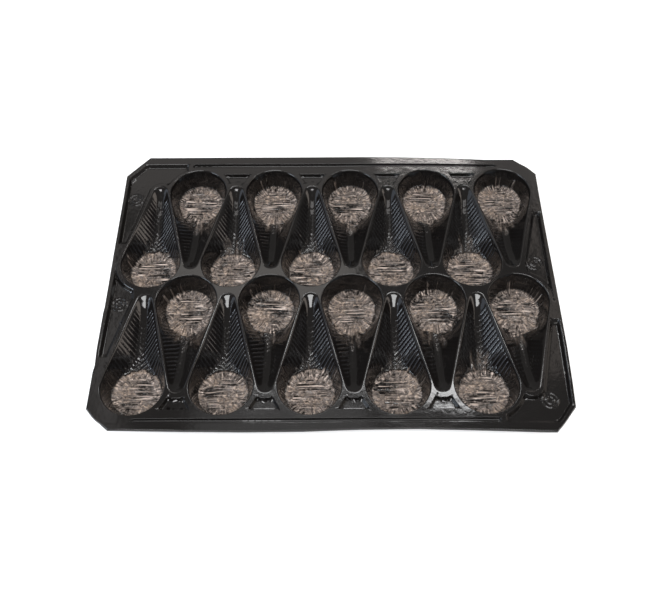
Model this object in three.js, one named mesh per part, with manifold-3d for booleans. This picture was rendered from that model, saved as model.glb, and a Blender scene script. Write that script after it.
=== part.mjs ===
// Fruit packing tray: one thin black sheet, drawn down into two rows of pear-shaped pockets.
// The pockets of a row lie head to tail.
// Units are millimetres, +Z is up, the origin is on the floor under the tray's middle, and -Y is the front.
import * as THREE from "three";
import { mergeVertices } from "three/addons/utils/BufferGeometryUtils.js";
import Module from "manifold-3d";

// The sheet
const TRAY_LENGTH = 385; // along X
const TRAY_WIDTH = 283; // along Y
const SHEET = 0.5; // thickness of the formed sheet
const CORNER_CUT_X = 19.5; // the outline's corners are cut off
const CORNER_CUT_Y = 22.5;
const LIP_DROP = 1.8; // the edge turns down by this
const LIP_RUN = 0.9; // and outwards by this

// The pear-shaped pockets
const POCKETS_PER_ROW = 10;
const POCKET_STEP = 35.2; // from one pocket's axis to the next one's
const BODY_RADIUS = 25.8; // the pear's round end, at the deck
const NECK_RADIUS = 6.4; // its narrow end
const PEAR_AXIS = 80; // between the centres of those two ends
const POCKET_DEPTH = 19; // down to the flat floor
const WALL_POWER = 2.5; // 2 is a round bowl, and more is a squarer one
const ROW_OUTER_Y = 98.9; // centres of the round ends next to the front and back edges
const ROW_INNER_Y = 19.9; // centres of the round ends next to the middle of the tray
const DECK = POCKET_DEPTH + SHEET;

// The shallow panels pressed into the deck
const PANEL_DEPTH = 3.5;
const PANEL_DRAFT = 2.2; // how far a panel's wall slopes in
const PANEL_EDGE_X = 189.6; // outer side of the corner and side panels
const PANEL_EDGE_Y = 133; // outer side of the corner panels
const PANEL_CUT_X = 14; // a corner panel's own corner is cut off too
const PANEL_CUT_Y = 16.5;
const CORNER_BODY_BAND = 3.4; // deck left between a round end and a corner panel
const SIDE_BODY_BAND = 4.2; // the same at a side panel
const CORNER_NECK_BAND = 2.2; // deck left along the pear beside a corner panel
const SIDE_NECK_BAND = 3.9; // the same beside a side panel
const TIP_BAND = 3.5; // deck left round a pear's tip
const CORNER_PANEL_END = 14; // along the pear's axis, where a panel has narrowed to a slit and stops
const SIDE_PANEL_END = 19;
const CORNER_PANEL_START = 11.9; // from the neighbour's axis to the corner panel's square end
const CORNER_TIP_TURN = -0.72 * Math.PI; // where the corner panel leaves the pear's tip
const CORNER_BODY_TURN = -0.12 * Math.PI; // and where it meets the neighbour's round end
const SIDE_BODY_TURN = 0.38 * Math.PI; // where the side panel meets the round end

// The trapezoid panels beyond the tips, and the long grooves
const TRAPEZOID_TIP_GAP = 2.6; // from the tip to the panel's upper corners
const TRAPEZOID_SAG = 1.6; // its upper side is hollow, round the tip
const TRAPEZOID_TOP = 12.4;
const TRAPEZOID_BASE = 26;
const TRAPEZOID_HEIGHT = 12;
const TRAPEZOID_DRAFT = 1.6;
const GROOVE_START_X = -156;
const GROOVE_END_X = 131;
const GROOVE_Y = 130.5;
const GROOVE_WIDTH = 5;
const GROOVE_DEPTH = 2.4;
const GROOVE_DRAFT = 1.2;

// Facets
const BODY_STEPS = 12;
const NECK_STEPS = 4;
const SIDE_STEPS = 4;
const WALL_RINGS = 3;
const TROUGH_SHARE = 0.35; // the last ring's share of the neck's half width
const ARC_STEPS = 5;
const CLEAR_ABOVE = 2; // cutters stand above the deck by this
const WELD = 1e-4; // points nearer than this are one

const wasm = await Module();
wasm.setup();

const taper = Math.asin((BODY_RADIUS - NECK_RADIUS) / PEAR_AXIS);

// A closed indexed surface, from corner points and triangles, as a solid.
function solidFrom(points, triangles) {
  const geometry = new THREE.BufferGeometry();
  geometry.setAttribute("position", new THREE.Float32BufferAttribute(points.flatMap((p) => p.toArray()), 3));
  geometry.setIndex(triangles.flat());
  const merged = mergeVertices(geometry, WELD);
  const whole = [];
  for (let i = 0; i < merged.index.count; i += 3) {
    const corners = [0, 1, 2].map((k) => merged.index.getX(i + k));
    if (new Set(corners).size === 3) whole.push(...corners);
  }
  return new wasm.Manifold(
    new wasm.Mesh({
      numProp: 3,
      vertProperties: merged.attributes.position.array,
      triVerts: new Uint32Array(whole),
    }),
  );
}

// Triangles between two rings of equal count, where the second ring lies below the first.
function band(first, second, count) {
  const triangles = [];
  for (let i = 0; i < count; i++) {
    const next = (i + 1) % count;
    triangles.push([first + i, second + i, second + next], [first + i, second + next, first + next]);
  }
  return triangles;
}

function arc(centreX, centreY, radius, from, to, steps = ARC_STEPS) {
  return Array.from({ length: steps + 1 }, (_, i) => {
    const angle = from + ((to - from) * i) / steps;
    return new THREE.Vector2(centreX + radius * Math.cos(angle), centreY + radius * Math.sin(angle));
  });
}

// An outline moved inwards by a distance, with mitred corners. Outlines run anticlockwise.
function inset(outline, distance) {
  return outline.map((point, i) => {
    const before = outline[(i + outline.length - 1) % outline.length];
    const after = outline[(i + 1) % outline.length];
    const normals = [point.clone().sub(before), after.clone().sub(point)].map((edge) =>
      new THREE.Vector2(-edge.y, edge.x).normalize(),
    );
    const mitre = normals[0].clone().add(normals[1]).divideScalar(1 + normals[0].dot(normals[1]));
    return point.clone().addScaledVector(mitre, distance);
  });
}

// A closed body between an outline and its inset below it.
function drafted(outline, top, bottom, draft) {
  const lower = inset(outline, draft);
  const count = outline.length;
  const points = [
    ...outline.map((p) => new THREE.Vector3(p.x, p.y, top)),
    ...lower.map((p) => new THREE.Vector3(p.x, p.y, bottom)),
  ];
  const lid = THREE.ShapeUtils.triangulateShape(outline, []);
  const base = THREE.ShapeUtils.triangulateShape(lower, []);
  const underside = base.map(([a, b, c]) => [a + count, c + count, b + count]);
  return solidFrom(points, [...lid, ...band(0, count, count), ...underside]);
}

// Where a pear's outline stands: the spine point's distance from the body's centre, and the way out from it.
function pearOutline() {
  const turns = [];
  const bodyStart = -Math.PI - taper;
  for (let i = 0; i <= BODY_STEPS; i++) {
    turns.push({ spine: 0, angle: bodyStart + ((Math.PI + 2 * taper) * i) / BODY_STEPS });
  }
  for (let i = 1; i < SIDE_STEPS; i++) turns.push({ spine: (PEAR_AXIS * i) / SIDE_STEPS, angle: taper });
  for (let i = 0; i <= NECK_STEPS; i++) {
    turns.push({ spine: PEAR_AXIS, angle: taper + ((Math.PI - 2 * taper) * i) / NECK_STEPS });
  }
  for (let i = SIDE_STEPS - 1; i > 0; i--) {
    turns.push({ spine: (PEAR_AXIS * i) / SIDE_STEPS, angle: Math.PI - taper });
  }
  return turns;
}

const pearRadius = (spine) => BODY_RADIUS - ((BODY_RADIUS - NECK_RADIUS) * spine) / PEAR_AXIS;

// The lower half of a pear lying on its side, cut off flat at the pocket's depth and grown by an amount.
// Its round end is at the origin, its tip points along +Y, and its mouth is at mouthZ above the deck.
function pear(grown, mouthZ) {
  const turns = pearOutline();
  const points = [];
  const triangles = [];
  const floor = POCKET_DEPTH + grown;
  const addRing = (at) => turns.forEach((turn) => points.push(at(turn)));
  const place = ({ spine, angle }, reach, z) =>
    new THREE.Vector3(reach * Math.cos(angle), spine + reach * Math.sin(angle), z);
  addRing((turn) => place(turn, pearRadius(turn.spine) + grown, mouthZ));
  for (let ring = mouthZ > 0 ? 0 : 1; ring <= WALL_RINGS; ring++) {
    addRing((turn) => {
      const radius = pearRadius(turn.spine) + grown;
      const floorShare = Math.max(0, 1 - (floor / radius) ** WALL_POWER) ** (1 / WALL_POWER);
      const lastTurn = Math.acos(Math.max(floorShare, TROUGH_SHARE) ** (WALL_POWER / 2));
      const wallTurn = (lastTurn * ring) / WALL_RINGS;
      const depth = radius * Math.sin(wallTurn) ** (2 / WALL_POWER);
      return place(turn, radius * Math.cos(wallTurn) ** (2 / WALL_POWER), -Math.min(depth, floor));
    });
  }
  const count = turns.length;
  const rings = points.length / count;
  for (let ring = 0; ring + 1 < rings; ring++) {
    triangles.push(...band((ring + 1) * count, ring * count, count));
  }
  addRing(({ spine }) => new THREE.Vector3(0, spine, -Math.min(pearRadius(spine) + grown, floor)));
  triangles.push(...band(rings * count, (rings - 1) * count, count));
  const mouth = THREE.ShapeUtils.triangulateShape(
    points.slice(0, count).map((p) => new THREE.Vector2(p.x, p.y)),
    [],
  );
  triangles.push(...mouth.map(([a, b, c]) => [a, c, b]));
  return solidFrom(points, triangles.map(([a, b, c]) => [a, c, b])).translate([0, 0, DECK]);
}

// Pockets point to the back and to the front by turns, and the two rows are alike.
const pocketPlaces = [];
for (const row of ["front", "back"]) {
  for (let i = 0; i < POCKETS_PER_ROW; i++) {
    const x = (i - (POCKETS_PER_ROW - 1) / 2) * POCKET_STEP;
    const tipToBack = i % 2 === 0;
    const outer = tipToBack === (row === "front");
    const y = (outer ? ROW_OUTER_Y : ROW_INNER_Y) * (row === "front" ? -1 : 1);
    pocketPlaces.push({ x, y, row, turn: tipToBack ? 0 : 180 });
  }
}
const lastX = ((POCKETS_PER_ROW - 1) / 2) * POCKET_STEP;

// A point on the right flank of the last pear that points to the front, moved off it by a band of deck.
function flankPoint(bodyY, spine, bandWidth) {
  const reach = pearRadius(spine) + bandWidth;
  return new THREE.Vector2(lastX + reach * Math.cos(taper), bodyY - spine - reach * Math.sin(taper));
}

// The front right corner panel.
function cornerPanel() {
  const neighbourX = lastX - POCKET_STEP;
  const neighbourReach = BODY_RADIUS + CORNER_BODY_BAND;
  const slitEnd = flankPoint(-ROW_INNER_Y, CORNER_PANEL_END, CORNER_NECK_BAND);
  const firstTurn = -Math.acos(CORNER_PANEL_START / neighbourReach);
  return [
    new THREE.Vector2(neighbourX + CORNER_PANEL_START, -PANEL_EDGE_Y),
    new THREE.Vector2(PANEL_EDGE_X - PANEL_CUT_X, -PANEL_EDGE_Y),
    new THREE.Vector2(PANEL_EDGE_X, -PANEL_EDGE_Y + PANEL_CUT_Y),
    new THREE.Vector2(PANEL_EDGE_X, slitEnd.y),
    slitEnd,
    ...arc(lastX, -ROW_INNER_Y - PEAR_AXIS, NECK_RADIUS + TIP_BAND, -taper, CORNER_TIP_TURN),
    ...arc(neighbourX, -ROW_OUTER_Y, neighbourReach, CORNER_BODY_TURN, firstTurn),
  ];
}

// The right side panel, beside the back row.
function sidePanel() {
  const slitEnd = flankPoint(ROW_OUTER_Y, SIDE_PANEL_END, SIDE_NECK_BAND);
  const bodyReach = BODY_RADIUS + SIDE_BODY_BAND;
  const lowTurn = Math.acos(Math.min(1, (PANEL_EDGE_X - lastX) / bodyReach));
  return [
    new THREE.Vector2(PANEL_EDGE_X, slitEnd.y),
    slitEnd,
    flankPoint(ROW_OUTER_Y, PEAR_AXIS, SIDE_NECK_BAND),
    ...arc(lastX, -ROW_INNER_Y, bodyReach, SIDE_BODY_TURN, lowTurn),
  ];
}

// The small panel beyond a front tip. It is hollowed round the tip.
function trapezoidPanel(x) {
  const tipY = -ROW_INNER_Y - PEAR_AXIS - NECK_RADIUS;
  const topY = tipY - TRAPEZOID_TIP_GAP;
  const hollowHalf = TRAPEZOID_TOP / 4;
  const corner = (halfWidth, y) => new THREE.Vector2(x + halfWidth, y);
  return [
    corner(-TRAPEZOID_BASE / 2, topY - TRAPEZOID_HEIGHT),
    corner(TRAPEZOID_BASE / 2, topY - TRAPEZOID_HEIGHT),
    corner(TRAPEZOID_TOP / 2, topY),
    corner(hollowHalf, topY - TRAPEZOID_SAG),
    corner(-hollowHalf, topY - TRAPEZOID_SAG),
    corner(-TRAPEZOID_TOP / 2, topY),
  ];
}

function grooveOutline() {
  const end = GROOVE_WIDTH / 2;
  return [
    ...arc(GROOVE_END_X - end, -GROOVE_Y, end, -Math.PI / 2, Math.PI / 2),
    ...arc(GROOVE_START_X + end, -GROOVE_Y, end, Math.PI / 2, (3 * Math.PI) / 2),
  ];
}

// The outline with its corners cut off, and the shell that its deck and turned-down lip make.
function trayOutline() {
  const x = TRAY_LENGTH / 2;
  const y = TRAY_WIDTH / 2;
  const quarter = [
    [x, -y + CORNER_CUT_Y],
    [x, y - CORNER_CUT_Y],
    [x - CORNER_CUT_X, y],
    [-x + CORNER_CUT_X, y],
  ];
  return [...quarter, ...quarter.map(([a, b]) => [-a, -b])].map(([a, b]) => new THREE.Vector2(a, b));
}

function deckShell() {
  const foot = trayOutline();
  const outside = drafted(inset(foot, LIP_RUN), DECK, DECK - LIP_DROP, -LIP_RUN);
  const inside = drafted(inset(foot, LIP_RUN + SHEET), DECK - SHEET, DECK - LIP_DROP - SHEET, -LIP_RUN);
  return outside.subtract(inside);
}

// Everything pressed into the front half, each as a hollow and the skin round it.
// The back half is the front one, turned half a turn.
const pressings = [
  { outline: cornerPanel(), depth: PANEL_DEPTH, draft: PANEL_DRAFT },
  { outline: sidePanel(), depth: PANEL_DEPTH, draft: PANEL_DRAFT },
  { outline: grooveOutline(), depth: GROOVE_DEPTH, draft: GROOVE_DRAFT },
  ...pocketPlaces
    .filter(({ row, turn, x }) => row === "front" && turn === 180 && x < lastX)
    .map(({ x }) => ({ outline: trapezoidPanel(x), depth: PANEL_DEPTH, draft: TRAPEZOID_DRAFT })),
];

function panelBodies({ outline, depth, draft }) {
  const slope = draft / depth;
  const wall = SHEET * (Math.hypot(1, slope) - slope);
  const hollow = drafted(
    inset(outline, -slope * CLEAR_ABOVE),
    DECK + CLEAR_ABOVE,
    DECK - depth,
    slope * (depth + CLEAR_ABOVE),
  );
  const skin = drafted(inset(outline, -wall), DECK - SHEET / 2, DECK - depth - SHEET, draft);
  const halfTurn = [0, 0, 180];
  return [
    { hollow, skin },
    { hollow: hollow.rotate(halfTurn), skin: skin.rotate(halfTurn) },
  ];
}

function pocketBodies({ x, y, turn }) {
  const place = (body) => body.rotate([0, 0, turn]).translate([x, y, 0]);
  return { hollow: place(pear(0, CLEAR_ABOVE)), skin: place(pear(SHEET, -SHEET / 2)) };
}

const formed = [...pressings.flatMap(panelBodies), ...pocketPlaces.map(pocketBodies)];
const skins = wasm.Manifold.union([deckShell(), ...formed.map(({ skin }) => skin)]);
const sheetSolid = skins.subtract(wasm.Manifold.union(formed.map(({ hollow }) => hollow)));

function meshFrom(solid, name, material) {
  const { vertProperties, triVerts } = solid.getMesh();
  const geometry = new THREE.BufferGeometry();
  geometry.setAttribute("position", new THREE.BufferAttribute(new Float32Array(vertProperties), 3));
  geometry.setIndex(new THREE.BufferAttribute(new Uint32Array(triVerts), 1));
  geometry.computeVertexNormals();
  const mesh = new THREE.Mesh(geometry, material);
  mesh.name = name;
  return mesh;
}

const blackPlastic = new THREE.MeshStandardMaterial({ color: 0x17181a, roughness: 0.32, metalness: 0 });

const tray = new THREE.Group();
tray.add(meshFrom(sheetSolid, "tray", blackPlastic));

export default tray;
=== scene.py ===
# The looks of the fruit packing tray: one fine mesh of the thin drawn sheet, its black plastic, and a plain
# studio. Shapes are worked out in millimetres, in the frame's own axes, and become metres in the mesh.
import math

import bpy
import numpy as np
from mathutils import Matrix, Vector
from mathutils.geometry import delaunay_2d_cdt
from mathutils.kdtree import KDTree


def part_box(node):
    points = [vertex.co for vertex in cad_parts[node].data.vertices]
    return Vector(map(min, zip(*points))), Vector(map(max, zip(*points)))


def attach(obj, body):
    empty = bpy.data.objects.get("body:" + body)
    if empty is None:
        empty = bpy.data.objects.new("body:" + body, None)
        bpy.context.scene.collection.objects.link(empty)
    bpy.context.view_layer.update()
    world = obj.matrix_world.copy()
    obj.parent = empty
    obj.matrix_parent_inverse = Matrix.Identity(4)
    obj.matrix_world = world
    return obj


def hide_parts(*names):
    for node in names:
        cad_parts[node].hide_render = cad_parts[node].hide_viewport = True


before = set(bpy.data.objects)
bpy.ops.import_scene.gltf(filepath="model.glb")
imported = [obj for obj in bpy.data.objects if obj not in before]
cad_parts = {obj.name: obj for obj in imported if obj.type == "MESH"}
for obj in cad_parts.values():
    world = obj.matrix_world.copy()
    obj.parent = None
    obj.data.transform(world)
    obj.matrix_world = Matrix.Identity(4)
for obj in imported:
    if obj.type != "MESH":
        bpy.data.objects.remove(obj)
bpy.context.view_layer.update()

MM = 0.001

# The sheet, as in the solid
TRAY_LOW, TRAY_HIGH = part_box("tray")
TRAY_LENGTH = (TRAY_HIGH.x - TRAY_LOW.x) / MM
TRAY_WIDTH = (TRAY_HIGH.y - TRAY_LOW.y) / MM
DECK = TRAY_HIGH.z / MM
SHEET = 0.5
EDGE_DROP = 0.1  # how far the underside's trimmed edge lies below the upper side's
CORNER_CUT_X = 19.5
CORNER_CUT_Y = 22.5
LIP_DROP = 1.8
LIP_RUN = 0.7  # the fine mesh turns down more sharply than the solid

# The pear-shaped pockets, as in the solid
POCKETS_PER_ROW = 10
POCKET_STEP = 35.2
BODY_RADIUS = 25.8
NECK_RADIUS = 6.4
PEAR_AXIS = 80.0
POCKET_DEPTH = DECK - SHEET
ROW_OUTER_Y = 98.9
ROW_INNER_Y = 19.9
TAPER = math.asin((BODY_RADIUS - NECK_RADIUS) / PEAR_AXIS)

# What only the fine mesh has
FLOOR_RADIUS = 20.0  # the flat round bottom that stands on the table
VALLEY_HALF = 3.0  # half the width of the neck's bottom
VALLEY_START = 36.0  # where along the pear the bottom has narrowed to that
RIM_ROUNDING = 0.7
FLOOR_ROUNDING = 0.09  # as a share of the wall's run
TIP_ROUNDING = 0.34  # the same, where the neck's valley curves up at its end
TIP_START = 58.0  # where along the pear that begins
TIP_RAMP = 12.0  # how long the neck's end takes to rise to the deck
RAMP_ROUNDING = 0.1  # as a share of that
DEPTH_ROUNDING = 0.8

# The slanted ribs in the necks. A pair holds the least and the most, or where a change starts and ends.
RIB_STEP = 4.4
RIB_SLANT = 0.57
RIB_HEIGHT = 0.8
RIB_SHARPNESS = 2.2
RIB_START = (19.5, 23)  # from the middle of the round bottom
RIB_RISE = 3.5
RIB_END = (66.0, 73.0)  # along the pear
RIB_SHARE_UP = (0.7, 1.0)  # in pockets whose neck points to the back
RIB_SHARE_DOWN = (0.15, 0.3)  # in the others, which show their ribs less
RIB_WEAK_SIDE = 0.16
RIB_SEED = 900

# The thin film at the pockets' bottoms, and its folds
FILM_SPREAD_UP = (0, 4)
FILM_SPREAD_DOWN = (4, 10)
FILM_FAN_UP = (0.12, 0.45)
FILM_FAN_DOWN = (0.3, 0.6)
FILM_LEAN = 0.12
FOLD_STEP = (2.4, 3.6)
FOLD_HEIGHT = 0.8
FOLD_MIDDLE = (-7, 6)
FOLD_SPREAD = (7, 13)
CRINKLE_HEIGHT = 0.5
PLEATS = 58  # round a whole bottom
PLEAT_HEIGHT = 0.5
GROOVES = (1, 4)  # sunk lines across a bottom: at least the first, fewer than the second
GROOVE_HALF = 0.7
STREAKS_PER_RADIAN = 24
STREAK_HEIGHT = 0.3
STREAK_FILM = 0.55  # how much film a streak up the wall shows
WRINKLE_SEED = 500
PATTERN_STEP = 37.0  # from one pocket's material patterns to the next one's

# The panels pressed into the deck, as in the solid, except that the trapezoids are slightly smaller
PANEL_DEPTH = 3.5
PANEL_DRAFT = 2.2
PANEL_EDGE_X = 189.6
PANEL_EDGE_Y = 133.0
PANEL_CUT_X = 14.0
PANEL_CUT_Y = 16.5
CORNER_BODY_BAND = 3.4
SIDE_BODY_BAND = 4.2
CORNER_NECK_BAND = 2.2
SIDE_NECK_BAND = 3.9
TIP_BAND = 3.5
CORNER_PANEL_END = 14.0
SIDE_PANEL_END = 19.0
CORNER_PANEL_START = 11.9
CORNER_TIP_TURN = -0.72 * math.pi
CORNER_BODY_TURN = -0.12 * math.pi
SIDE_BODY_TURN = 0.38 * math.pi
TRAPEZOID_TIP_GAP = 2.6
TRAPEZOID_SAG = 1.6
TRAPEZOID_TOP = 12.4
TRAPEZOID_BASE = 25.4
TRAPEZOID_HEIGHT = 11.4
TRAPEZOID_DRAFT = 1.4
GROOVE_START_X = -156.0
GROOVE_END_X = 131.0
GROOVE_Y = 130.5
GROOVE_WIDTH = 5.0
GROOVE_DEPTH = 2.4
GROOVE_DRAFT = 1.2
PANEL_ROUNDING = 0.16  # as a share of the draft
PANEL_KNEE = 0.03  # the same, at the foot of the wall

# Plain raised rings on the deck's corners and sides
RING_PLACES = [(-180.8, 92.5), (-180.5, -21.2), (178.1, 19.0), (172.3, -112.1)]
RING_RADII = (6.2, 2.9)
RING_WIDTH = 1.1
RING_HEIGHT = 0.5
RING_FLAT = 0.35  # the half width of a ring's flat top, as a share of its width
RING_REACH = 8.0

# The slow waves of the deck
LONG_WAVE_HEIGHT = 0.7
LONG_WAVE_X = 75
LONG_WAVE_Y = 60
SHORT_WAVE_HEIGHT = 0.15
SHORT_WAVE_LENGTH = 24
WAVE_SEED = 90

# How the trimmed edge wanders, as pairs of place and distance inside the box
BACK_EDGE = [(-192.5, 0.0), (30, 0.0), (61, 0.4), (104, 1.8), (147, 4.4), (192.5, 4.8)]
FRONT_EDGE = [
    (-192.5, 4.6), (-163, 4.3), (-117, 3.2), (-70, 2.6), (-24, 2.9),
    (22, 4.4), (68, 4.8), (114, 3.3), (160, 1.6), (192.5, 1.2),
]
LEFT_EDGE = [
    (-141, 0.0), (-86, 0.0), (-82, 0.8), (-66, 0.0),
    (-30, 0.0), (-27, 0.4), (40, 0.0), (141, 0.0),
]
RIGHT_EDGE = [(-141, 2.4), (-118, 1.8), (-101, 1.0), (-65, 0.0), (-27, 0.0), (141, 0.0)]
EDGE_REACH = 16.0
BACK_LIFT = 0.8  # the share of the lip's drop that is missing along the back edge

# Odd numbers that scatter the noise's values over its lattice
SCATTER_X = 374761393
SCATTER_Y = 668265263
SCATTER_SEED = 2147483647
SCATTER_AGAIN = 1274126177

# How far apart the mesh's points are
FINE_PITCH = 1.35  # in the pockets, on the upper side
COARSE_PITCH = 4.0  # in the pockets, on the underside
DECK_PITCH = 3.2
UNDER_DECK_PITCH = 1.6 * DECK_PITCH
EDGE_PITCH = 2.0
EDGE_INSETS = (0.2, 0.4, 0.65, 1.0, 1.8)  # loops of points inside the trimmed edge
RIM_INSETS = (0.0, -0.42, 0.5, -0.85, 1.0, -1.4)  # the same at a pocket's rim; below 0 is outside it
WALL_SHARES = (1.0, 0.9, 0.72, 0.54, 0.36)  # loops on the round wall, 1 at its foot
RIB_ROW_PITCH = 0.88  # from row to row along a neck, as a share of the pitch
RIB_POINT_PITCH = 1.15  # the same, from point to point in a row
PANEL_PITCH = 1.3  # the same, along a panel's lines
LINE_TOLERANCE = 0.15  # a panel's point falls away when its distance from the outline is off by more
SLOPE_STEP = 0.08  # between the two heights that give a slope

# The least distance of a point from those of earlier groups, as a share of the pitch
EDGE_GAP = 0.1
LOOP_GAP = 0.25
RING_GAP = 0.3
DECK_GAP = 0.45
FILL_GAP = 0.62


# --- Shared curves -------------------------------------------------------------------------------

def smooth(x):
    x = np.clip(x, 0.0, 1.0)
    return x * x * (3 - 2 * x)


def fade(x, start, end):
    return smooth((x - start) / (end - start))


def soft_ramp(distance, rounding):
    """0 outside, the distance inside, and a parabola between."""
    blend = (distance + rounding) ** 2 / (4 * rounding)
    return np.where(distance < -rounding, 0.0, np.where(distance > rounding, distance, blend))


def soft_cap(x, rounding):
    """x up to 1, with a rounded knee, from exactly 0 to exactly 1."""
    def knee(t):
        return (t + 1 - np.sqrt((t - 1) ** 2 + 4 * rounding**2)) / 2

    return (knee(x) - knee(0.0)) / (1 - knee(0.0))


def lattice_noise(x, y, seed):
    """Smooth value noise in 0 to 1 on a lattice of 1."""
    cell_x, cell_y = np.floor(x).astype(np.int64), np.floor(y).astype(np.int64)
    part_x, part_y = smooth(x - cell_x), smooth(y - cell_y)

    def corner(i, j):
        mixed = (i * SCATTER_X + j * SCATTER_Y + seed * SCATTER_SEED) & 0xFFFFFFFF
        mixed = ((mixed ^ (mixed >> 13)) * SCATTER_AGAIN) & 0xFFFFFFFF
        return ((mixed ^ (mixed >> 16)) & 0xFFFF) / 0xFFFF

    low = corner(cell_x, cell_y) * (1 - part_x) + corner(cell_x + 1, cell_y) * part_x
    high = corner(cell_x, cell_y + 1) * (1 - part_x) + corner(cell_x + 1, cell_y + 1) * part_x
    return low * (1 - part_y) + high * part_y


def ridged(x, y, seed):
    """Sharp crests where value noise crosses its middle."""
    return 1 - np.abs(2 * lattice_noise(x, y, seed) - 1)


# --- Pockets -------------------------------------------------------------------------------------
# Lengths run along a pocket from the middle of its round end, and across it. What is added to a pocket's
# seed keeps its noise patterns apart.

def pocket_places():
    for row in (-1, 1):
        for i in range(POCKETS_PER_ROW):
            x = (i - (POCKETS_PER_ROW - 1) / 2) * POCKET_STEP
            tip = 1 if i % 2 == 0 else -1
            outer = (tip == 1) == (row == -1)
            yield x, row * (ROW_OUTER_Y if outer else ROW_INNER_Y), tip


POCKETS = list(pocket_places())
LAST_X = POCKETS[-1][0]


def pear_radius(spine):
    return BODY_RADIUS - (BODY_RADIUS - NECK_RADIUS) * spine / PEAR_AXIS


def pear_place(along, across):
    """The nearest point of the pear's spine, the distance from it, and the pear's radius there."""
    reach = np.abs(across) / math.cos(TAPER)
    spine = along - reach * math.sin(TAPER)
    past_tip = np.hypot(along - PEAR_AXIS, across)
    reach = np.where(spine < 0, np.hypot(along, across), np.where(spine > PEAR_AXIS, past_tip, reach))
    spine = np.clip(spine, 0, PEAR_AXIS)
    return spine, reach, pear_radius(spine)


def wall_run(spine):
    """How far the wall runs in, down to the round bottom or to the neck's valley."""
    bottom_half = VALLEY_HALF + (FLOOR_RADIUS - VALLEY_HALF) * (1 - fade(spine, 0, VALLEY_START))
    return pear_radius(spine) - bottom_half


def pocket_depth(along, spine, reach, radius):
    """How deep a pocket is: a rounded rim, a flat bottom, and a neck that rises to its tip."""
    def rounded_least(a, b):
        return (a + b - np.sqrt((a - b) ** 2 + 4 * DEPTH_ROUNDING**2)) / 2

    deepest = rounded_least(radius, POCKET_DEPTH) * POCKET_DEPTH / rounded_least(BODY_RADIUS, POCKET_DEPTH)
    knee = FLOOR_ROUNDING + (TIP_ROUNDING - FLOOR_ROUNDING) * fade(spine, TIP_START, PEAR_AXIS - 2)
    to_tip = PEAR_AXIS + NECK_RADIUS + RIM_ROUNDING - along
    ramp = soft_cap(np.maximum(to_tip, 0) / TIP_RAMP, RAMP_ROUNDING)
    return deepest * ramp * soft_cap(soft_ramp(radius - reach, RIM_ROUNDING) / wall_run(spine), knee)


def rib_share(along, across, spine, reach, seed, tip):
    """How strongly the ribs stand up at each place of a neck: most on one wall, least in its valley."""
    draw = np.random.default_rng(seed + RIB_SEED)
    start = draw.uniform(*RIB_START)
    height = draw.uniform(*(RIB_SHARE_UP if tip == 1 else RIB_SHARE_DOWN))
    stretch = fade(np.hypot(along, across), start, start + RIB_RISE) * (1 - fade(spine, *RIB_END))
    inside = fade(pear_radius(spine) - reach, 1.2, 3.0) * fade(spine, 2, 12)
    in_valley = (1 - fade(reach, 2.4, 4.4)) * fade(spine, 24, 46)
    side = RIB_WEAK_SIDE + (1 - RIB_WEAK_SIDE) * fade(across, -3, 3)
    return height * stretch * inside * side * (1 - 0.95 * in_valley)


def rib_relief(spine, reach):
    """Slanted ribs that meet in the neck's valley, every second one stronger there."""
    turn = 2 * math.pi * (spine - RIB_SLANT * reach) / RIB_STEP
    strong = 1 + 0.2 * np.cos(turn / 2) * (1 - fade(reach, 2, 6))
    return RIB_HEIGHT * (0.5 + 0.5 * np.cos(turn)) ** RIB_SHARPNESS * strong


def film_share(along, across, reach, seed, tip):
    """Where the drawn sheet is so thin that the pale table shows through it."""
    draw = np.random.default_rng(seed)
    spread = draw.uniform(*(FILM_SPREAD_UP if tip == 1 else FILM_SPREAD_DOWN))
    fan = draw.uniform(*(FILM_FAN_UP if tip == 1 else FILM_FAN_DOWN))
    lean = draw.uniform(-FILM_LEAN, FILM_LEAN)
    round_off = np.hypot(along, across)
    turn = np.arctan2(across - lean * along, along)
    ragged = lattice_noise(along / 2.2, across / 2.2, seed + 7) - 0.5
    lobes = lattice_noise(turn * 5 + 20, round_off / 40, seed)
    limit = FLOOR_RADIUS + spread * lobes * fade(np.cos(turn), 0.45, 0.95)
    blur = 0.6 + 0.4 * (limit - FLOOR_RADIUS)
    disc = 1 - fade(round_off + 0.5 * ragged, limit - 0.5, limit + blur)
    rays = fade(lattice_noise(turn * 16 + 50, round_off / 30, seed + 11), 0.2, 0.8)
    tail = (0.35 + 0.65 * rays) * fade(along, 8, 18) * (1 - fade(along, 26, 50)) * (1 - fade(reach, 4, 14))
    return np.clip(np.maximum(disc, fan * tail), 0, 1)


def cross_folds(along, across, drift, seed, draw):
    """Straight folds across the middle of a thin bottom."""
    middle = draw.uniform(*FOLD_MIDDLE)
    step = draw.uniform(*FOLD_STEP)
    spread = draw.uniform(*FOLD_SPREAD)
    folds = 0.5 + 0.5 * np.sin(2 * math.pi * (along + 0.8 * drift) / step)
    folds = folds * fade(lattice_noise(along / 5, across / 11, seed + 2), 0.15, 0.6)
    folds = folds * (1 - fade(np.abs(along - middle + 0.6 * drift), spread * 0.6, spread))
    return folds * (1 - fade(np.abs(across + 1.5 * drift), 9, 16))


def sunk_lines(along, across, drift, draw):
    """Narrow grooves across a thin bottom."""
    grooves = np.zeros_like(along)
    for _ in range(draw.integers(*GROOVES)):
        line = draw.uniform(-12, 12) + 0.15 * draw.uniform(-1, 1) * across + 0.5 * drift
        side = draw.uniform(-6, 6)
        length = 1 - fade(np.abs(across - side), 5, 11)
        grooves += np.exp(-(((along - line) / GROOVE_HALF) ** 2)) * length
    return np.clip(grooves, 0, 1)


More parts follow.
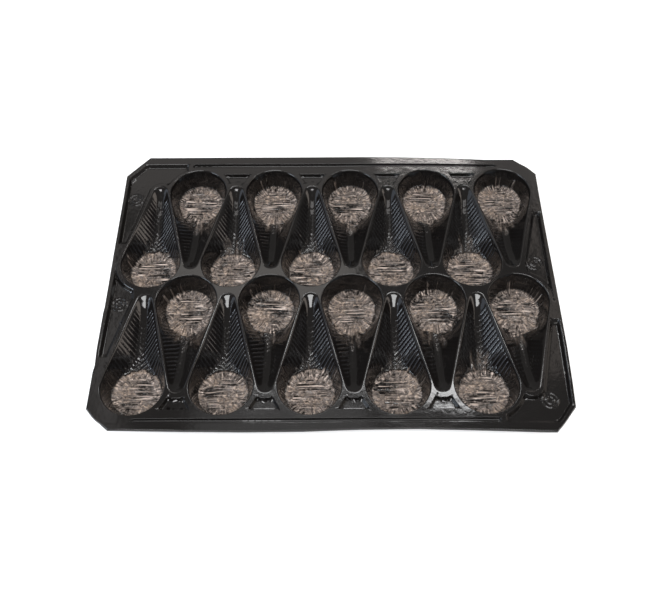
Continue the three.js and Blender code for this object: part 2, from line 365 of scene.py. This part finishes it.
def edge_pleats(round_off, turn, seed):
    """Radial pleats near the edge of a thin bottom, on the side of the neck."""
    wander = 9 * lattice_noise(turn * 3 + 9, round_off / 5, seed + 3)
    pleats = 0.5 + 0.5 * np.cos(PLEATS * turn + wander)
    pleats = pleats * fade(round_off, 12.5, 16.5) * (1 - fade(round_off, 21, 23))
    return pleats * fade(np.cos(turn), -0.6, 0.4)


def crinkles(along, across, drift, seed):
    """Small random crests of two sizes."""
    large = ridged((along + drift) / 4.6, (across - drift) / 5.0, seed + 4) ** 2
    return 0.6 * large + 0.4 * ridged((along - across) / 3.4, (across + along) / 3.9, seed + 5) ** 2


def wall_streaks(round_off, turn, spine, reach, seed):
    """Fine lines up the round wall, in patches."""
    streaks = lattice_noise(turn * STREAKS_PER_RADIAN + 40, round_off / 30, seed + 6)
    patches = lattice_noise(turn * 2.2 + 20, round_off / 60, seed + 8)
    streaks = fade(streaks, 0.45, 0.9) * fade(patches, 0.25, 0.6)
    streaks = streaks * fade(round_off, 19.5, 20.5) * (1 - fade(reach, 22, BODY_RADIUS - 0.8))
    return streaks * (1 - fade(spine, 2, 18))


def wrinkle_relief(along, across, spine, reach, seed):
    """The relief of a thin bottom, the grooves in it, and the streaks up the round wall."""
    draw = np.random.default_rng(seed + WRINKLE_SEED)
    round_off = np.hypot(along, across)
    turn = np.arctan2(across, along)
    drift = 5 * (lattice_noise(along / 11, across / 11, seed + 1) - 0.5)
    folds = cross_folds(along, across, drift, seed, draw)
    grooves = sunk_lines(along, across, drift, draw)
    pleats = edge_pleats(round_off, turn, seed)
    streaks = wall_streaks(round_off, turn, spine, reach, seed)
    on_floor = 1 - fade(round_off, FLOOR_RADIUS - 1.0, FLOOR_RADIUS + 0.6)
    on_tail = fade(along, 12, 20) * (1 - fade(along, 30, 44)) * (1 - fade(reach, 8, 12))
    relief = FOLD_HEIGHT * folds + CRINKLE_HEIGHT * crinkles(along, across, drift, seed) * (1 - 0.8 * folds)
    relief = relief * np.maximum(on_floor, 0.8 * on_tail) * (1 - 0.6 * pleats) + PLEAT_HEIGHT * pleats
    return relief + STREAK_HEIGHT * streaks, grooves * on_floor, streaks


# --- Panels, as outlines that run anticlockwise ----------------------------------------------------

def arc(centre_x, centre_y, radius, start, end, steps=10):
    turns = np.linspace(start, end, steps + 1)
    return [(centre_x + radius * math.cos(t), centre_y + radius * math.sin(t)) for t in turns]


def flank_point(body_y, spine, band):
    reach = pear_radius(spine) + band
    return LAST_X + reach * math.cos(TAPER), body_y - spine - reach * math.sin(TAPER)


def corner_panel():
    neighbour_x = LAST_X - POCKET_STEP
    neighbour_reach = BODY_RADIUS + CORNER_BODY_BAND
    slit_end = flank_point(-ROW_INNER_Y, CORNER_PANEL_END, CORNER_NECK_BAND)
    first_turn = -math.acos(CORNER_PANEL_START / neighbour_reach)
    return [
        (neighbour_x + CORNER_PANEL_START, -PANEL_EDGE_Y),
        (PANEL_EDGE_X - PANEL_CUT_X, -PANEL_EDGE_Y),
        (PANEL_EDGE_X, -PANEL_EDGE_Y + PANEL_CUT_Y),
        (PANEL_EDGE_X, slit_end[1]),
        slit_end,
        *arc(LAST_X, -ROW_INNER_Y - PEAR_AXIS, NECK_RADIUS + TIP_BAND, -TAPER, CORNER_TIP_TURN),
        *arc(neighbour_x, -ROW_OUTER_Y, neighbour_reach, CORNER_BODY_TURN, first_turn),
    ]


def side_panel():
    slit_end = flank_point(ROW_OUTER_Y, SIDE_PANEL_END, SIDE_NECK_BAND)
    body_reach = BODY_RADIUS + SIDE_BODY_BAND
    low_turn = math.acos(min(1, (PANEL_EDGE_X - LAST_X) / body_reach))
    return [
        (PANEL_EDGE_X, slit_end[1]),
        slit_end,
        flank_point(ROW_OUTER_Y, PEAR_AXIS, SIDE_NECK_BAND),
        *arc(LAST_X, -ROW_INNER_Y, body_reach, SIDE_BODY_TURN, low_turn),
    ]


def trapezoid_panel(x):
    top = -ROW_INNER_Y - PEAR_AXIS - NECK_RADIUS - TRAPEZOID_TIP_GAP
    return [
        (x - TRAPEZOID_BASE / 2, top - TRAPEZOID_HEIGHT),
        (x + TRAPEZOID_BASE / 2, top - TRAPEZOID_HEIGHT),
        (x + TRAPEZOID_TOP / 2, top),
        (x + TRAPEZOID_TOP / 4, top - TRAPEZOID_SAG),
        (x - TRAPEZOID_TOP / 4, top - TRAPEZOID_SAG),
        (x - TRAPEZOID_TOP / 2, top),
    ]


def groove_outline():
    end = GROOVE_WIDTH / 2
    return [
        *arc(GROOVE_END_X - end, -GROOVE_Y, end, -math.pi / 2, math.pi / 2),
        *arc(GROOVE_START_X + end, -GROOVE_Y, end, math.pi / 2, 3 * math.pi / 2),
    ]


def pressings():
    """Each panel's outline, depth and draft, for the front half and then turned for the back half."""
    front = [(corner_panel(), PANEL_DEPTH, PANEL_DRAFT), (side_panel(), PANEL_DEPTH, PANEL_DRAFT)]
    front.append((groove_outline(), GROOVE_DEPTH, GROOVE_DRAFT))
    for x, y, tip in POCKETS:
        if y < 0 and tip == -1 and x < LAST_X:
            front.append((trapezoid_panel(x), PANEL_DEPTH, TRAPEZOID_DRAFT))
    for outline, depth, draft in front:
        yield np.array(outline), depth, draft
        yield -np.array(outline), depth, draft


PRESSINGS = list(pressings())


def distance_inside(points, outline):
    """The distance of each point from an outline, above 0 inside it."""
    nearest = np.full(len(points), np.inf)
    inside = np.zeros(len(points), bool)
    for start, end in zip(outline, np.roll(outline, -1, axis=0)):
        edge = end - start
        share = np.clip((points - start) @ edge / (edge @ edge), 0, 1)
        gap = points - start - share[:, None] * edge
        nearest = np.minimum(nearest, (gap**2).sum(1))
        if start[1] != end[1]:
            cross_x = start[0] + edge[0] * (points[:, 1] - start[1]) / edge[1]
            inside ^= ((start[1] > points[:, 1]) != (end[1] > points[:, 1])) & (points[:, 0] < cross_x)
    return np.where(inside, 1.0, -1.0) * np.sqrt(nearest)


def tray_outline(inset=0.0):
    """The outline with its corners cut off, moved inwards."""
    x, y = TRAY_LENGTH / 2 - inset, TRAY_WIDTH / 2 - inset
    cut = math.hypot(CORNER_CUT_X, CORNER_CUT_Y)
    trim_x = CORNER_CUT_X + inset * (cut - CORNER_CUT_X - CORNER_CUT_Y) / CORNER_CUT_Y
    trim_y = CORNER_CUT_Y + inset * (cut - CORNER_CUT_X - CORNER_CUT_Y) / CORNER_CUT_X
    half = [(x, -y + trim_y), (x, y - trim_y), (x - trim_x, y), (-x + trim_x, y)]
    return np.array(half + [(-a, -b) for a, b in half])


# --- The sheet's surface over its plan -------------------------------------------------------------

def sheet_surface(plan):
    """Depth below the deck of the smooth sheet, the fine relief on it, and what the material reads."""
    count = len(plan)
    depth, relief, film, tone_and_painted_light, rib_bump_and_highlight = (np.zeros(count) for _ in range(5))
    local = np.zeros((count, 3))
    for seed, (x, y, tip) in enumerate(POCKETS):
        along, across = tip * (plan[:, 1] - y), tip * (plan[:, 0] - x)
        spine, reach, radius = pear_place(along, across)
        near = np.flatnonzero(reach < radius + 2 * RIM_ROUNDING)
        along, across = along[near], across[near]
        spine, reach, radius = spine[near], reach[near], radius[near]
        within = reach < radius
        depth[near] += pocket_depth(along, spine, reach, radius)
        wrinkles, grooves, streaks = wrinkle_relief(along, across, spine, reach, seed)
        share = rib_share(along, across, spine, reach, seed, tip)
        relief[near] += share * rib_relief(spine, reach) + wrinkles * (1 - 0.9 * grooves)
        # This share also sets the painted highlight on the ribs' crests, so that highlight is strongest on
        # one wall.
        rib_bump_and_highlight[near] = np.maximum(rib_bump_and_highlight[near], share * within)
        thin = np.maximum(film_share(along, across, reach, seed, tip), STREAK_FILM * streaks)
        film[near] = np.maximum(film[near], thin * within)
        # The relief's height, lowest in the sunk grooves, is kept to paint shade into the film's hollows
        # and highlight onto its crests.
        tone_and_painted_light[near] = np.where(within, wrinkles * (1 - grooves), tone_and_painted_light[near])
        pattern = np.full(np.count_nonzero(within), PATTERN_STEP * seed)
        local[near[within]] = np.column_stack([along[within], across[within], pattern])
    for outline, panel_depth, draft in PRESSINGS:
        low, high = outline.min(0) - 1, outline.max(0) + 1
        near = np.flatnonzero(np.all((plan > low) & (plan < high), axis=1))
        inside = distance_inside(plan[near], outline)
        depth[near] += panel_depth * soft_cap(soft_ramp(inside / draft, PANEL_ROUNDING), PANEL_KNEE)
    for x, y in RING_PLACES:
        off = np.hypot(plan[:, 0] - x, plan[:, 1] - y)
        for radius in RING_RADII:
            relief += RING_HEIGHT * (1 - fade(np.abs(off - radius), RING_WIDTH * RING_FLAT, RING_WIDTH))
    edge = distance_inside(plan, tray_outline())
    lift = BACK_LIFT * fade(plan[:, 1], TRAY_WIDTH / 4, TRAY_WIDTH / 2 - 2)
    lip = LIP_DROP * (1 - lift) * fade(edge, LIP_RUN, 0)
    long_wave = lattice_noise(plan[:, 0] / LONG_WAVE_X + 7.3, plan[:, 1] / LONG_WAVE_Y + 3.1, WAVE_SEED)
    short_wave = lattice_noise(*(plan.T / SHORT_WAVE_LENGTH), WAVE_SEED + 1)
    wave = LONG_WAVE_HEIGHT * long_wave + SHORT_WAVE_HEIGHT * short_wave
    flat = 1 - np.clip(depth / POCKET_DEPTH, 0, 1)
    read = {"film": film, "fold_painted_shading": tone_and_painted_light, "rib_share": rib_bump_and_highlight, "pocket_place": local}
    return depth + lip + wave * flat, relief, read


def trimmed(plan):
    """The plan with its edge drawn in by the wander of the trimmed edge."""
    out = plan.copy()
    edges = ((1, 1, BACK_EDGE), (1, -1, FRONT_EDGE), (0, -1, LEFT_EDGE), (0, 1, RIGHT_EDGE))
    for axis, sign, wander in edges:
        half = (TRAY_LENGTH, TRAY_WIDTH)[axis] / 2
        places, gaps = zip(*wander)
        gap = np.interp(plan[:, 1 - axis], places, gaps)
        out[:, axis] -= sign * gap * fade(sign * plan[:, axis], half - EDGE_REACH, half)
    return out


# --- Where the mesh's points lie ------------------------------------------------------------------

def spaced(start, end, pitch):
    steps = max(1, round(float(np.hypot(*(np.array(end) - start))) / pitch))
    return [np.array(start) + (np.array(end) - start) * i / steps for i in range(steps)]


def edge_loop(inset):
    outline, base = tray_outline(inset), tray_outline()
    points = []
    for i in range(len(outline)):
        steps = len(spaced(base[i], base[i - 1], EDGE_PITCH))
        points += [outline[i - 1] + (outline[i] - outline[i - 1]) * k / steps for k in range(steps)]
    return points


def pear_loop(pitch, spine_end, reach_at):
    """Points round a pear's big end and up both flanks, and round its tip when the flanks reach it."""
    turns = []
    for side in (-1, 1):
        for spine in np.arange(pitch, spine_end, pitch):
            turns.append((spine, math.pi / 2 - side * (math.pi / 2 - TAPER)))
    body_turns = np.arange(-math.pi - TAPER, TAPER + 1e-6, pitch / BODY_RADIUS)
    turns += [(0.0, t) for t in body_turns]
    if spine_end >= PEAR_AXIS:
        turns += [(PEAR_AXIS, t) for t in np.arange(TAPER, math.pi - TAPER, pitch / NECK_RADIUS)]
    spine, turn = np.array(turns).T
    reach = reach_at(spine)
    return np.column_stack([reach * np.cos(turn), spine + reach * np.sin(turn)])


def chevron_rows(pitch):
    """Rows of points along the ribs, from the valley up both walls."""
    points = []
    rows_per_rib = round(RIB_STEP / (RIB_ROW_PITCH * pitch))
    for phase in np.arange(-PEAR_AXIS / 8, PEAR_AXIS, RIB_STEP / rows_per_rib):
        for reach in np.arange(0, BODY_RADIUS, RIB_POINT_PITCH * pitch):
            spine = phase + RIB_SLANT * reach
            along, across = spine + reach * math.sin(TAPER), reach * math.cos(TAPER)
            outside = math.hypot(along, across) > FLOOR_RADIUS + 0.6
            if outside and FLOOR_RADIUS / 3 < spine < PEAR_AXIS and reach < pear_radius(spine) - 1.5:
                points += [(side * across, along) for side in ((-1, 1) if reach else (1,))]
    return np.array(points)


def hex_grid(low, high, pitch):
    rows = np.arange(low[1], high[1], pitch * math.sqrt(3) / 2)
    columns = np.arange(low[0], high[0], pitch)
    return np.array([(x + (pitch / 2 if i % 2 else 0), y) for i, y in enumerate(rows) for x in columns])


def in_every_pocket(points):
    return np.vstack([points * tip + (x, y) for x, y, tip in POCKETS])


def pocket_points(pitch):
    """The points of one pocket about its own centre: those on loops, and those that fill it."""
    def rim_loop(inset):
        return pear_loop(pitch, PEAR_AXIS, lambda spine: pear_radius(spine) - inset)

    def wall_loop(share):
        flank_end = VALLEY_START / 2
        return pear_loop(pitch, flank_end, lambda spine: pear_radius(spine) - share * wall_run(spine))

    loops = [rim_loop(inset) for inset in RIM_INSETS] + [wall_loop(share) for share in WALL_SHARES]
    grid = hex_grid((-BODY_RADIUS, -BODY_RADIUS), (BODY_RADIUS, PEAR_AXIS + NECK_RADIUS), pitch)
    _, reach, radius = pear_place(grid[:, 1], grid[:, 0])
    return loops, [chevron_rows(pitch), grid[reach < radius - 1.3]]


def panel_points(outline, draft, pitch):
    """Lines of points at a panel's rim, on its wall and at the wall's foot."""
    points = []
    for start, end in zip(outline, np.roll(outline, -1, axis=0)):
        line = np.array(spaced(start, end, pitch))
        edge = (end - start) / np.hypot(*(end - start))
        inwards = np.array([-edge[1], edge[0]])
        for off in (0.0, -0.23 * draft, 0.23 * draft, draft / 2, draft - 0.25, draft + 0.3, draft + 0.9):
            points += [(p, off) for p in line + inwards * off]
    place = np.array([p for p, _ in points])
    wanted = np.array([off for _, off in points])
    return place[np.abs(distance_inside(place, outline) - wanted) < LINE_TOLERANCE]


def thinned(groups):
    """The groups' points in order, without those that crowd an earlier group's. Each brings its own gap."""
    kept = []
    for points, gap in groups:
        tree = KDTree(max(1, len(kept)))
        for i, p in enumerate(kept):
            tree.insert((p[0], p[1], 0), i)
        tree.balance()
        fresh = [p for p in points if not kept or tree.find((p[0], p[1], 0))[2] > gap]
        kept += fresh
    return np.array(kept)


def sheet_plan(pitch, deck_pitch):
    """All points of one side of the sheet, the trimmed edge's loop first."""
    border = edge_loop(0.0)
    groups = [(border, 0.0)]
    for inset in EDGE_INSETS:
        groups.append((edge_loop(inset), EDGE_GAP * pitch))
    loops, fills = pocket_points(pitch)
    groups += [(in_every_pocket(loop), LOOP_GAP * pitch) for loop in loops]
    groups += [(in_every_pocket(fill), FILL_GAP * pitch) for fill in fills]
    for outline, _, draft in PRESSINGS:
        groups.append((panel_points(outline, draft, PANEL_PITCH * pitch), LOOP_GAP * pitch))
    ring = hex_grid((-RING_REACH, -RING_REACH), (RING_REACH, RING_REACH), 0.55 * pitch)
    groups.append((np.vstack([ring + place for place in RING_PLACES]), RING_GAP * pitch))
    half = np.array([TRAY_LENGTH, TRAY_WIDTH]) / 2
    grid = hex_grid(-half, half, deck_pitch)
    groups.append((grid[distance_inside(grid, tray_outline()) > 2.5], DECK_GAP * deck_pitch))
    return thinned(groups), len(border)


# --- Building the mesh ----------------------------------------------------------------------------

def triangles_of(plan):
    corners = [Vector(p) for p in plan]
    made = delaunay_2d_cdt(corners, [], [], 0, 1e-6)
    source = [ids[0] for ids in made[3]]
    return np.array([[source[i] for i in face] for face in made[2]])


def upper_height(plan):
    depth, relief, _ = sheet_surface(plan)
    return np.clip(DECK - depth + relief, 0, DECK)


def smooth_height(plan):
    return DECK - sheet_surface(plan)[0]


def normals_of(height, plan, border):
    """The sheet's own normals, so that its shading doesn't show the triangles. 0 at the trimmed edge."""
    slopes = []
    for step in ((SLOPE_STEP, 0), (0, SLOPE_STEP)):
        slopes.append((height(plan + step) - height(plan - step)) / (2 * SLOPE_STEP))
    normal = np.column_stack([-slopes[0], -slopes[1], np.ones(len(plan))])
    normal /= np.linalg.norm(normal, axis=1)[:, None]
    normal[:border] = 0
    return normal


def upper_side():
    plan, border = sheet_plan(FINE_PITCH, DECK_PITCH)
    place = np.column_stack([trimmed(plan), upper_height(plan)])
    normal = normals_of(upper_height, plan, border)
    return place, normal, triangles_of(plan), border, sheet_surface(plan)[2]


def under_side():
    plan, border = sheet_plan(COARSE_PITCH, UNDER_DECK_PITCH)
    normal = normals_of(smooth_height, plan, border)
    place = np.column_stack([plan, smooth_height(plan)]) - SHEET * normal
    place[:border, :2] = edge_loop(SHEET)
    place[:border, 2] -= EDGE_DROP
    place[:, 2] = np.maximum(place[:, 2], 0)
    place[:, :2] = trimmed(place[:, :2])
    return place, -normal, triangles_of(plan), sheet_surface(plan)[2]


def build_tray():
    top, top_normal, top_faces, border, read = upper_side()
    under, under_normal, under_faces, under_read = under_side()
    first = len(top)
    strip = [(i, i + first, (i + 1) % border + first, (i + 1) % border) for i in range(border)]
    faces = top_faces.tolist() + (under_faces[:, ::-1] + first).tolist() + strip
    mesh = bpy.data.meshes.new("tray_sheet")
    mesh.from_pydata((np.vstack([top, under]) * MM).tolist(), [], faces)
    mesh.update()
    for name in read:
        values = np.concatenate([read[name], under_read[name]])
        if values.ndim == 1:
            mesh.attributes.new(name, "FLOAT", "POINT").data.foreach_set("value", values)
        else:
            mesh.attributes.new(name, "FLOAT_VECTOR", "POINT").data.foreach_set("vector", values.ravel())
    mesh.shade_smooth()
    mesh.normals_split_custom_set_from_vertices(np.vstack([top_normal, under_normal]).tolist())
    tray = bpy.data.objects.new("tray_sheet", mesh)
    bpy.context.collection.objects.link(tray)
    return tray


# --- Materials ------------------------------------------------------------------------------------

class Term:
    """A shader socket that takes part in plain expressions."""

    def __init__(self, surface, socket):
        self.surface, self.socket = surface, socket

    def _math(self, operation, *values):
        return self.surface.add("ShaderNodeMath", {"operation": operation}, dict(enumerate(values)))

    def __add__(self, other):
        return self._math("ADD", self, other)

    __radd__ = __add__

    def __mul__(self, other):
        return self._math("MULTIPLY", self, other)

    __rmul__ = __mul__

    def __truediv__(self, other):
        return self._math("DIVIDE", self, other)

    def __sub__(self, other):
        return self._math("SUBTRACT", self, other)

    def __rsub__(self, other):
        return self._math("SUBTRACT", other, self)

    def __pow__(self, other):
        return self._math("POWER", self, other)

    def size(self):
        return self._math("ABSOLUTE", self)

    def cosine(self):
        return self._math("COSINE", self)

    def near(self, level, width):
        """1 at a level, falling to 0 where it is a width away."""
        return (self - level).size().between(width, 0.0)

    def between(self, low, high):
        """0 below low, 1 above high, and smooth between them."""
        sockets = {"Value": self, "From Min": low, "From Max": high}
        return self.surface.add("ShaderNodeMapRange", {"interpolation_type": "SMOOTHSTEP"}, sockets)


class Surface:
    """One material and the nodes that make it."""

    def __init__(self, name):
        self.material = bpy.data.materials.new(name)
        self.material.use_nodes = True
        self.nodes = self.material.node_tree.nodes
        self.links = self.material.node_tree.links
        self.shader = self.nodes["Principled BSDF"]

    def put(self, socket, value):
        if isinstance(value, Term):
            self.links.new(value.socket, socket)
        else:
            socket.default_value = value

    def add(self, kind, settings, sockets, output=0):
        node = self.nodes.new(kind)
        for name, value in settings.items():
            setattr(node, name, value)
        for name, value in sockets.items():
            self.put(node.inputs[name], value)
        return Term(self, node.outputs[output])

    def attribute(self, name, output):
        return self.add("ShaderNodeAttribute", {"attribute_name": name}, {}, output)

    def mix(self, share, first, second):
        return self.add("ShaderNodeMix", {"data_type": "RGBA"}, {0: share, 6: first, 7: second}, 2)

    def blend(self, share, first, second):
        return first + (second - first) * share

    def parts(self, vector):
        split = self.add("ShaderNodeSeparateXYZ", {}, {0: vector}).socket.node
        return [Term(self, socket) for socket in split.outputs]

    def joined(self, x, y, z):
        return self.add("ShaderNodeCombineXYZ", {}, {0: x, 1: y, 2: z})

    def stretched(self, place, scale):
        return self.add("ShaderNodeVectorMath", {"operation": "MULTIPLY"}, {0: place, 1: scale})

    def noise(self, place, scale, detail, distortion=0.0):
        sockets = {"Vector": place, "Scale": scale, "Detail": detail, "Distortion": distortion}
        return self.add("ShaderNodeTexNoise", {}, sockets)

    def bump(self, height, strength, distance, below=None):
        sockets = {"Height": height, "Strength": strength, "Distance": distance}
        if below:
            sockets["Normal"] = below
        return self.add("ShaderNodeBump", {}, sockets)

    def finish(self, **values):
        for name, value in values.items():
            self.put(self.shader.inputs[name.replace("_", " ")], value)
        return self.material


SHEET_BLACK = (0.0065, 0.0056, 0.0053, 1)
SHEET_BROWN = (0.014, 0.011, 0.009, 1)
RIB_HIGHLIGHT_GREY = (0.20, 0.21, 0.24, 1)  # painted bluish highlight on the ribs' crests
FILM_DARK = (0.012, 0.010, 0.009, 1)
FILM_PALE = (0.84, 0.70, 0.62, 1)
FILM_GOLDEN = (0.56, 0.40, 0.28, 1)
PLEATS_ROUND = 13.0  # the noise cells that a radial pleat pattern is turned through, over a radian

# Noise cells to a millimetre, along the pocket, across it and from pocket to pocket
LINES_SCALE = (0.62, 0.04, 1.0)
CRINKLE_SCALE = (0.42, 0.34, 1.0)
PATCH_SCALE = (0.075, 0.05, 1.0)


def film_tone(surface, pocket, painted_fold_shading):
    """The folds of the drawn bottom: their height, how pale each place of them looks with painted shade and
    glints, and how golden.

    Straight folds run across the bottom, radial ones stand near its edge, and patches are crumpled.
    """
    along, across, draw = surface.parts(pocket)
    off = (along * along + across * across + 0.01) ** 0.5
    turned = surface.joined(along * PLEATS_ROUND / off, across * PLEATS_ROUND / off, draw + off * 0.10)
    pleats = surface.noise(turned, 1.0, 1.0, 0.2)
    lines = surface.noise(surface.stretched(pocket, LINES_SCALE), 1.0, 0.8, 0.2)
    crinkle = surface.noise(surface.stretched(pocket, CRINKLE_SCALE), 1.0, 2.0, 0.6)
    patch = surface.noise(surface.stretched(pocket, PATCH_SCALE), 1.0, 1.0)
    near_edge = (off + 9.0 * (patch - 0.5)).between(12.0, 16.0)
    crumpled = patch.between(0.48, 0.58)
    height = surface.blend(crumpled, lines, 0.35 * lines + 0.65 * crinkle)
    height = surface.blend(near_edge, height, 0.6 * pleats + 0.4 * crinkle)
    # The film's tone rises with the folds' height: painted shade in their hollows and painted highlight on
    # their crests, with painted glints near the bottom's edge.
    tone_and_painted_light = 0.24 + 0.06 * near_edge + 1.3 * (height - 0.5) + 0.4 * (crinkle - 0.5)
    # Painted glints on the fold crests and the crinkles.
    tone_and_painted_light = tone_and_painted_light + 0.9 * height.between(0.56, 0.68) + 0.25 * crinkle.near(0.60, 0.05)
    # Random patches of tone, and the relief's height as painted shade and highlight.
    tone_and_painted_light = tone_and_painted_light + 0.8 * (patch - 0.5) + 0.14 * (painted_fold_shading - 0.4)
    return height, tone_and_painted_light, (crinkle + patch).between(1.0, 1.25)


def rib_lines(surface, pocket, share):
    """The narrow crests of the ribs in the necks, for their bump and for a painted highlight."""
    along, across, _ = surface.parts(pocket)
    reach = across.size() / math.cos(TAPER)
    turn = (along - reach * (math.sin(TAPER) + RIB_SLANT)) * (2 * math.pi / RIB_STEP)
    return (0.5 + 0.5 * turn.cosine()) ** 4.0 * share


def drawn_plastic():
    """Glossy black sheet that turns to thin smoky film where it was drawn furthest."""
    surface = Surface("drawn_plastic")
    film = surface.attribute("film", "Fac")
    # The relief's height, for painted shade and highlight on the film.
    painted_fold_shading = surface.attribute("fold_painted_shading", "Fac")
    pocket = surface.attribute("pocket_place", "Vector")
    rib_bump_and_highlight = rib_lines(surface, pocket, surface.attribute("rib_share", "Fac"))
    world = surface.add("ShaderNodeTexCoord", {}, {}, "Object")
    folds, tone_and_painted_light, golden = film_tone(surface, pocket, painted_fold_shading)
    share = (film + 0.3 * (folds - 0.5) * film).between(0.1, 0.9)
    film_colour = surface.mix(tone_and_painted_light, FILM_DARK, surface.mix(0.5 * golden, FILM_PALE, FILM_GOLDEN))
    black = surface.mix(film.between(0.05, 0.7), SHEET_BLACK, SHEET_BROWN)
    # Painted bluish highlight on the ribs' crests, strongest on one wall.
    black_with_painted_rib_highlight = surface.mix(0.3 * rib_bump_and_highlight, black, RIB_HIGHLIGHT_GREY)
    peel = surface.noise(world, 300.0, 2.0)
    haze = surface.noise(world, 60.0, 3.0)
    relief = surface.bump(peel, 0.1, 0.0004)
    relief = surface.bump(rib_bump_and_highlight, 1.0, 0.0007, relief)
    relief = surface.bump(folds * share, 1.0, 0.008, relief)
    return surface.finish(
        Base_Color=surface.mix(share, black_with_painted_rib_highlight, film_colour),
        Roughness=0.05 + 0.08 * haze + 0.06 * film,
        IOR=1.53,
        Normal=relief,
    )


def studio_white():
    surface = Surface("studio_white")
    place = surface.add("ShaderNodeTexCoord", {}, {}, "Object")
    grain = surface.noise(place, 8.0, 3.0)
    pale = surface.mix(grain, (0.90, 0.90, 0.90, 1), (0.93, 0.93, 0.93, 1))
    return surface.finish(
        Base_Color=pale,
        Roughness=0.9,
        Emission_Color=(1, 1, 1, 1),
        Emission_Strength=0.4,
    )


# --- The studio -----------------------------------------------------------------------------------

CAMERA_PLACE = (0.0030, -0.3744, 0.5836)
CAMERA_PITCH = math.radians(57.53)
CAMERA_YAW = math.radians(-0.66)
CAMERA_ROLL = math.radians(-0.86)
CAMERA_LENS = 42.93
FLOOR_HALF = 3.0


def add_camera():
    forward = Vector((
        math.sin(CAMERA_YAW) * math.cos(CAMERA_PITCH),
        math.cos(CAMERA_YAW) * math.cos(CAMERA_PITCH),
        -math.sin(CAMERA_PITCH),
    ))
    level = Vector((math.cos(CAMERA_YAW), -math.sin(CAMERA_YAW), 0))
    upright = level.cross(forward)
    right = math.cos(CAMERA_ROLL) * level + math.sin(CAMERA_ROLL) * upright
    up = right.cross(forward)
    camera = bpy.data.objects.new("camera", bpy.data.cameras.new("camera"))
    camera.data.lens = CAMERA_LENS
    camera.data.clip_start = 0.01
    turn = Matrix((right, up, -forward)).transposed().to_4x4()
    camera.matrix_world = Matrix.Translation(CAMERA_PLACE) @ turn
    bpy.context.collection.objects.link(camera)
    bpy.context.scene.camera = camera


def add_softbox(name, place, size, radiance, colour=(1, 1, 1), aim=(0, 0, 0)):
    """A rectangular lamp of a given brightness that faces a point."""
    lamp = bpy.data.lights.new(name, "AREA")
    lamp.shape = "RECTANGLE"
    lamp.size, lamp.size_y = size
    lamp.energy = radiance * math.pi * size[0] * size[1]
    lamp.color = colour
    holder = bpy.data.objects.new(name, lamp)
    holder.location = place
    holder.rotation_euler = (Vector(aim) - Vector(place)).to_track_quat("-Z", "Y").to_euler()
    bpy.context.collection.objects.link(holder)


def add_floor():
    mesh = bpy.data.meshes.new("studio_floor")
    corners = [(x * FLOOR_HALF, y * FLOOR_HALF, 0) for x, y in ((-1, -1), (1, -1), (1, 1), (-1, 1))]
    mesh.from_pydata(corners, [], [(0, 1, 2, 3)])
    floor = bpy.data.objects.new("studio_floor", mesh)
    bpy.context.collection.objects.link(floor)
    mesh.materials.append(studio_white())


def add_world(colour, radiance):
    world = bpy.data.worlds.new("studio")
    world.use_nodes = True
    background = world.node_tree.nodes["Background"]
    background.inputs["Color"].default_value = colour
    background.inputs["Strength"].default_value = radiance
    bpy.context.scene.world = world


add_camera()
add_world((1, 0.97, 0.95, 1), 0.22)
add_floor()
add_softbox("front_left_box", (-0.075, 0.69, 1.5), (0.37, 0.12), 11)
add_softbox("front_right_box", (0.275, 0.68, 1.5), (0.27, 0.17), 14)
add_softbox("front_band_box", (-0.15, 0.50, 1.5), (0.5, 0.2), 0.6)
add_softbox("valley_box", (0, 0.24, 1.5), (1.6, 0.12), 2.4, (1, 0.98, 0.96))
add_softbox("middle_box", (-0.22, 1.0, 1.5), (0.62, 0.3), 1.7, (1, 0.95, 0.9))
add_softbox("flange_box", (0.31, 1.5, 1.5), (0.30, 0.05), 18, (1, 0.95, 0.92))
add_softbox("top_box", (0, -0.8, 1.6), (1.3, 0.5), 10)
add_softbox("back_box", (0, 1.75, 1.75), (2.4, 0.4), 0.6, (1, 0.94, 0.9))
add_softbox("left_window", (-1.5, -0.6, 0.8), (0.7, 0.6), 9, (0.78, 0.88, 1))
add_softbox("left_box", (-1.6, 0.4, 0.8), (1.4, 0.8), 0.9, (0.7, 0.82, 1))
add_softbox("right_box", (1.6, 0.1, 0.8), (1.2, 0.6), 1.9, (1, 0.88, 0.78))
add_softbox("left_flange_box", (-0.70, 0.90, 1.5), (0.07, 0.8), 0.8, (1, 0.95, 0.93), aim=(-0.70, 0, 0))
add_softbox("right_flange_box", (0.69, 1.10, 1.5), (0.07, 0.8), 0.9, (1, 0.88, 0.8), aim=(0.69, 0, 0))
bpy.context.scene.view_settings.view_transform = "Standard"

tray = build_tray()
tray.data.materials.append(drawn_plastic())
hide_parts("tray")
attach(tray, "root")
